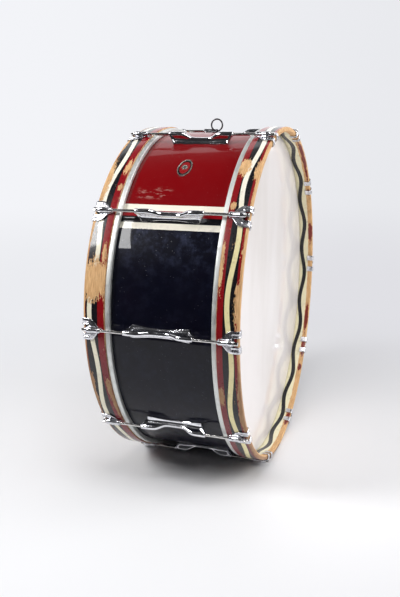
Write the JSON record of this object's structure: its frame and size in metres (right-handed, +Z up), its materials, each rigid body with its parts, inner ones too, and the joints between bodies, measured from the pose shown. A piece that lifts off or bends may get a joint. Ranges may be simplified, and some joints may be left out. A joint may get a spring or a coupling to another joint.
{
  "type": "marching bass drum",
  "caption": "Rod-tensioned marching bass drum with painted wooden hoops, claw hooks, double-ended lugs on the shell and a carrying ring, standing on its hoops.",
  "frame": {"origin": "On the floor, midway between the two hoops and straight below the drum's axis.", "axes": "+X along the drum's axis towards the right head, +Z up through the carrying ring, -Y towards the front with the vent plate."},
  "size_m": [0.3152, 0.7588, 0.7542],
  "materials": {
    "lacquered_shell": "high-gloss red and midnight blue lacquer with cream, red and black stripes",
    "head_film": "smooth white coated film",
    "flesh_hoop_aluminium": "brushed",
    "painted_hoop": "hand-painted red, black and cream bands, chipped to bare maple",
    "dark_steel": "tarnished",
    "rod_chrome": "polished, slightly worn",
    "chrome": "polished"
  },
  "bodies": {
    "drum": {"shell": "lacquered_shell", "vent_plate": "chrome", "ring_staple": "dark_steel", "left_head": "head_film", "left_flesh_hoop": "flesh_hoop_aluminium", "left_hoop": "painted_hoop", "right_head": "head_film", "right_flesh_hoop": "flesh_hoop_aluminium", "right_hoop": "painted_hoop", "lug_01": "chrome", "lug_02": "chrome", "lug_03": "chrome", "lug_04": "chrome", "lug_05": "chrome", "lug_06": "chrome", "lug_07": "chrome", "lug_08": "chrome", "lug_09": "chrome", "lug_10": "chrome"},
    "carrying_ring": {"carrying_ring": "dark_steel"},
    "left_claw_01": {"left_claw_01": "chrome"},
    "left_rod_01": {"left_rod_01": "rod_chrome"},
    "right_claw_01": {"right_claw_01": "chrome"},
    "right_rod_01": {"right_rod_01": "rod_chrome"},
    "left_claw_02": {"left_claw_02": "chrome"},
    "left_rod_02": {"left_rod_02": "rod_chrome"},
    "right_claw_02": {"right_claw_02": "chrome"},
    "right_rod_02": {"right_rod_02": "rod_chrome"},
    "left_claw_03": {"left_claw_03": "chrome"},
    "left_rod_03": {"left_rod_03": "rod_chrome"},
    "right_claw_03": {"right_claw_03": "chrome"},
    "right_rod_03": {"right_rod_03": "rod_chrome"},
    "left_claw_04": {"left_claw_04": "chrome"},
    "left_rod_04": {"left_rod_04": "rod_chrome"},
    "right_claw_04": {"right_claw_04": "chrome"},
    "right_rod_04": {"right_rod_04": "rod_chrome"},
    "left_claw_05": {"left_claw_05": "chrome"},
    "left_rod_05": {"left_rod_05": "rod_chrome"},
    "right_claw_05": {"right_claw_05": "chrome"},
    "right_rod_05": {"right_rod_05": "rod_chrome"},
    "left_claw_06": {"left_claw_06": "chrome"},
    "left_rod_06": {"left_rod_06": "rod_chrome"},
    "right_claw_06": {"right_claw_06": "chrome"},
    "right_rod_06": {"right_rod_06": "rod_chrome"},
    "left_claw_07": {"left_claw_07": "chrome"},
    "left_rod_07": {"left_rod_07": "rod_chrome"},
    "right_claw_07": {"right_claw_07": "chrome"},
    "right_rod_07": {"right_rod_07": "rod_chrome"},
    "left_claw_08": {"left_claw_08": "chrome"},
    "left_rod_08": {"left_rod_08": "rod_chrome"},
    "right_claw_08": {"right_claw_08": "chrome"},
    "right_rod_08": {"right_rod_08": "rod_chrome"},
    "left_claw_09": {"left_claw_09": "chrome"},
    "left_rod_09": {"left_rod_09": "rod_chrome"},
    "right_claw_09": {"right_claw_09": "chrome"},
    "right_rod_09": {"right_rod_09": "rod_chrome"},
    "left_claw_10": {"left_claw_10": "chrome"},
    "left_rod_10": {"left_rod_10": "rod_chrome"},
    "right_claw_10": {"right_claw_10": "chrome"},
    "right_rod_10": {"right_rod_10": "rod_chrome"}
  },
  "joints": [
    {"name": "ring_fold", "type": "hinge", "parent": "drum", "child": "carrying_ring", "pos_m": [-0.0015, 0, 0.7273], "axis": [1, 0, 0], "range_deg": [-90, 90]},
    {"name": "left_claw_01_slide", "type": "slide", "parent": "drum", "child": "left_claw_01", "axis": [-1, 0, 0], "range_m": [0, 0.00635]},
    {"name": "left_rod_01_turn", "type": "hinge", "parent": "left_claw_01", "child": "left_rod_01", "pos_m": [0, -0.11557, 0.72369], "axis": [-1, 0, 0], "range_deg": [0, 1800]},
    {"name": "right_claw_01_slide", "type": "slide", "parent": "drum", "child": "right_claw_01", "axis": [1, 0, 0], "range_m": [0, 0.00635]},
    {"name": "right_rod_01_turn", "type": "hinge", "parent": "right_claw_01", "child": "right_rod_01", "pos_m": [0, -0.11557, 0.72369], "axis": [1, 0, 0], "range_deg": [0, 1800]},
    {"name": "left_claw_02_slide", "type": "slide", "parent": "drum", "child": "left_claw_02", "axis": [-1, 0, 0], "range_m": [0, 0.00635]},
    {"name": "left_rod_02_turn", "type": "hinge", "parent": "left_claw_02", "child": "left_rod_02", "pos_m": [0, -0.30257, 0.58783], "axis": [-1, 0, 0], "range_deg": [0, 1800]},
    {"name": "right_claw_02_slide", "type": "slide", "parent": "drum", "child": "right_claw_02", "axis": [1, 0, 0], "range_m": [0, 0.00635]},
    {"name": "right_rod_02_turn", "type": "hinge", "parent": "right_claw_02", "child": "right_rod_02", "pos_m": [0, -0.30257, 0.58783], "axis": [1, 0, 0], "range_deg": [0, 1800]},
    {"name": "left_claw_03_slide", "type": "slide", "parent": "drum", "child": "left_claw_03", "axis": [-1, 0, 0], "range_m": [0, 0.00635]},
    {"name": "left_rod_03_turn", "type": "hinge", "parent": "left_claw_03", "child": "left_rod_03", "pos_m": [0, -0.374, 0.368], "axis": [-1, 0, 0], "range_deg": [0, 1800]},
    {"name": "right_claw_03_slide", "type": "slide", "parent": "drum", "child": "right_claw_03", "axis": [1, 0, 0], "range_m": [0, 0.00635]},
    {"name": "right_rod_03_turn", "type": "hinge", "parent": "right_claw_03", "child": "right_rod_03", "pos_m": [0, -0.374, 0.368], "axis": [1, 0, 0], "range_deg": [0, 1800]},
    {"name": "left_claw_04_slide", "type": "slide", "parent": "drum", "child": "left_claw_04", "axis": [-1, 0, 0], "range_m": [0, 0.00635]},
    {"name": "left_rod_04_turn", "type": "hinge", "parent": "left_claw_04", "child": "left_rod_04", "pos_m": [0, -0.30257, 0.14817], "axis": [-1, 0, 0], "range_deg": [0, 1800]},
    {"name": "right_claw_04_slide", "type": "slide", "parent": "drum", "child": "right_claw_04", "axis": [1, 0, 0], "range_m": [0, 0.00635]},
    {"name": "right_rod_04_turn", "type": "hinge", "parent": "right_claw_04", "child": "right_rod_04", "pos_m": [0, -0.30257, 0.14817], "axis": [1, 0, 0], "range_deg": [0, 1800]},
    {"name": "left_claw_05_slide", "type": "slide", "parent": "drum", "child": "left_claw_05", "axis": [-1, 0, 0], "range_m": [0, 0.00635]},
    {"name": "left_rod_05_turn", "type": "hinge", "parent": "left_claw_05", "child": "left_rod_05", "pos_m": [0, -0.11557, 0.0123], "axis": [-1, 0, 0], "range_deg": [0, 1800]},
    {"name": "right_claw_05_slide", "type": "slide", "parent": "drum", "child": "right_claw_05", "axis": [1, 0, 0], "range_m": [0, 0.00635]},
    {"name": "right_rod_05_turn", "type": "hinge", "parent": "right_claw_05", "child": "right_rod_05", "pos_m": [0, -0.11557, 0.0123], "axis": [1, 0, 0], "range_deg": [0, 1800]},
    {"name": "left_claw_06_slide", "type": "slide", "parent": "drum", "child": "left_claw_06", "axis": [-1, 0, 0], "range_m": [0, 0.00635]},
    {"name": "left_rod_06_turn", "type": "hinge", "parent": "left_claw_06", "child": "left_rod_06", "pos_m": [0, 0.11557, 0.0123], "axis": [-1, 0, 0], "range_deg": [0, 1800]},
    {"name": "right_claw_06_slide", "type": "slide", "parent": "drum", "child": "right_claw_06", "axis": [1, 0, 0], "range_m": [0, 0.00635]},
    {"name": "right_rod_06_turn", "type": "hinge", "parent": "right_claw_06", "child": "right_rod_06", "pos_m": [0, 0.11557, 0.0123], "axis": [1, 0, 0], "range_deg": [0, 1800]},
    {"name": "left_claw_07_slide", "type": "slide", "parent": "drum", "child": "left_claw_07", "axis": [-1, 0, 0], "range_m": [0, 0.00635]},
    {"name": "left_rod_07_turn", "type": "hinge", "parent": "left_claw_07", "child": "left_rod_07", "pos_m": [0, 0.30257, 0.14817], "axis": [-1, 0, 0], "range_deg": [0, 1800]},
    {"name": "right_claw_07_slide", "type": "slide", "parent": "drum", "child": "right_claw_07", "axis": [1, 0, 0], "range_m": [0, 0.00635]},
    {"name": "right_rod_07_turn", "type": "hinge", "parent": "right_claw_07", "child": "right_rod_07", "pos_m": [0, 0.30257, 0.14817], "axis": [1, 0, 0], "range_deg": [0, 1800]},
    {"name": "left_claw_08_slide", "type": "slide", "parent": "drum", "child": "left_claw_08", "axis": [-1, 0, 0], "range_m": [0, 0.00635]},
    {"name": "left_rod_08_turn", "type": "hinge", "parent": "left_claw_08", "child": "left_rod_08", "pos_m": [0, 0.374, 0.368], "axis": [-1, 0, 0], "range_deg": [0, 1800]},
    {"name": "right_claw_08_slide", "type": "slide", "parent": "drum", "child": "right_claw_08", "axis": [1, 0, 0], "range_m": [0, 0.00635]},
    {"name": "right_rod_08_turn", "type": "hinge", "parent": "right_claw_08", "child": "right_rod_08", "pos_m": [0, 0.374, 0.368], "axis": [1, 0, 0], "range_deg": [0, 1800]},
    {"name": "left_claw_09_slide", "type": "slide", "parent": "drum", "child": "left_claw_09", "axis": [-1, 0, 0], "range_m": [0, 0.00635]},
    {"name": "left_rod_09_turn", "type": "hinge", "parent": "left_claw_09", "child": "left_rod_09", "pos_m": [0, 0.30257, 0.58783], "axis": [-1, 0, 0], "range_deg": [0, 1800]},
    {"name": "right_claw_09_slide", "type": "slide", "parent": "drum", "child": "right_claw_09", "axis": [1, 0, 0], "range_m": [0, 0.00635]},
    {"name": "right_rod_09_turn", "type": "hinge", "parent": "right_claw_09", "child": "right_rod_09", "pos_m": [0, 0.30257, 0.58783], "axis": [1, 0, 0], "range_deg": [0, 1800]},
    {"name": "left_claw_10_slide", "type": "slide", "parent": "drum", "child": "left_claw_10", "axis": [-1, 0, 0], "range_m": [0, 0.00635]},
    {"name": "left_rod_10_turn", "type": "hinge", "parent": "left_claw_10", "child": "left_rod_10", "pos_m": [0, 0.11557, 0.72369], "axis": [-1, 0, 0], "range_deg": [0, 1800]},
    {"name": "right_claw_10_slide", "type": "slide", "parent": "drum", "child": "right_claw_10", "axis": [1, 0, 0], "range_m": [0, 0.00635]},
    {"name": "right_rod_10_turn", "type": "hinge", "parent": "right_claw_10", "child": "right_rod_10", "pos_m": [0, 0.11557, 0.72369], "axis": [1, 0, 0], "range_deg": [0, 1800]}
  ],
  "couplings": [
    {"joint": "left_rod_01_turn", "follows": "left_claw_01_slide", "rad_per_m": 4947.4},
    {"joint": "right_rod_01_turn", "follows": "right_claw_01_slide", "rad_per_m": 4947.4},
    {"joint": "left_rod_02_turn", "follows": "left_claw_02_slide", "rad_per_m": 4947.4},
    {"joint": "right_rod_02_turn", "follows": "right_claw_02_slide", "rad_per_m": 4947.4},
    {"joint": "left_rod_03_turn", "follows": "left_claw_03_slide", "rad_per_m": 4947.4},
    {"joint": "right_rod_03_turn", "follows": "right_claw_03_slide", "rad_per_m": 4947.4},
    {"joint": "left_rod_04_turn", "follows": "left_claw_04_slide", "rad_per_m": 4947.4},
    {"joint": "right_rod_04_turn", "follows": "right_claw_04_slide", "rad_per_m": 4947.4},
    {"joint": "left_rod_05_turn", "follows": "left_claw_05_slide", "rad_per_m": 4947.4},
    {"joint": "right_rod_05_turn", "follows": "right_claw_05_slide", "rad_per_m": 4947.4},
    {"joint": "left_rod_06_turn", "follows": "left_claw_06_slide", "rad_per_m": 4947.4},
    {"joint": "right_rod_06_turn", "follows": "right_claw_06_slide", "rad_per_m": 4947.4},
    {"joint": "left_rod_07_turn", "follows": "left_claw_07_slide", "rad_per_m": 4947.4},
    {"joint": "right_rod_07_turn", "follows": "right_claw_07_slide", "rad_per_m": 4947.4},
    {"joint": "left_rod_08_turn", "follows": "left_claw_08_slide", "rad_per_m": 4947.4},
    {"joint": "right_rod_08_turn", "follows": "right_claw_08_slide", "rad_per_m": 4947.4},
    {"joint": "left_rod_09_turn", "follows": "left_claw_09_slide", "rad_per_m": 4947.4},
    {"joint": "right_rod_09_turn", "follows": "right_claw_09_slide", "rad_per_m": 4947.4},
    {"joint": "left_rod_10_turn", "follows": "left_claw_10_slide", "rad_per_m": 4947.4},
    {"joint": "right_rod_10_turn", "follows": "right_claw_10_slide", "rad_per_m": 4947.4}
  ]
}
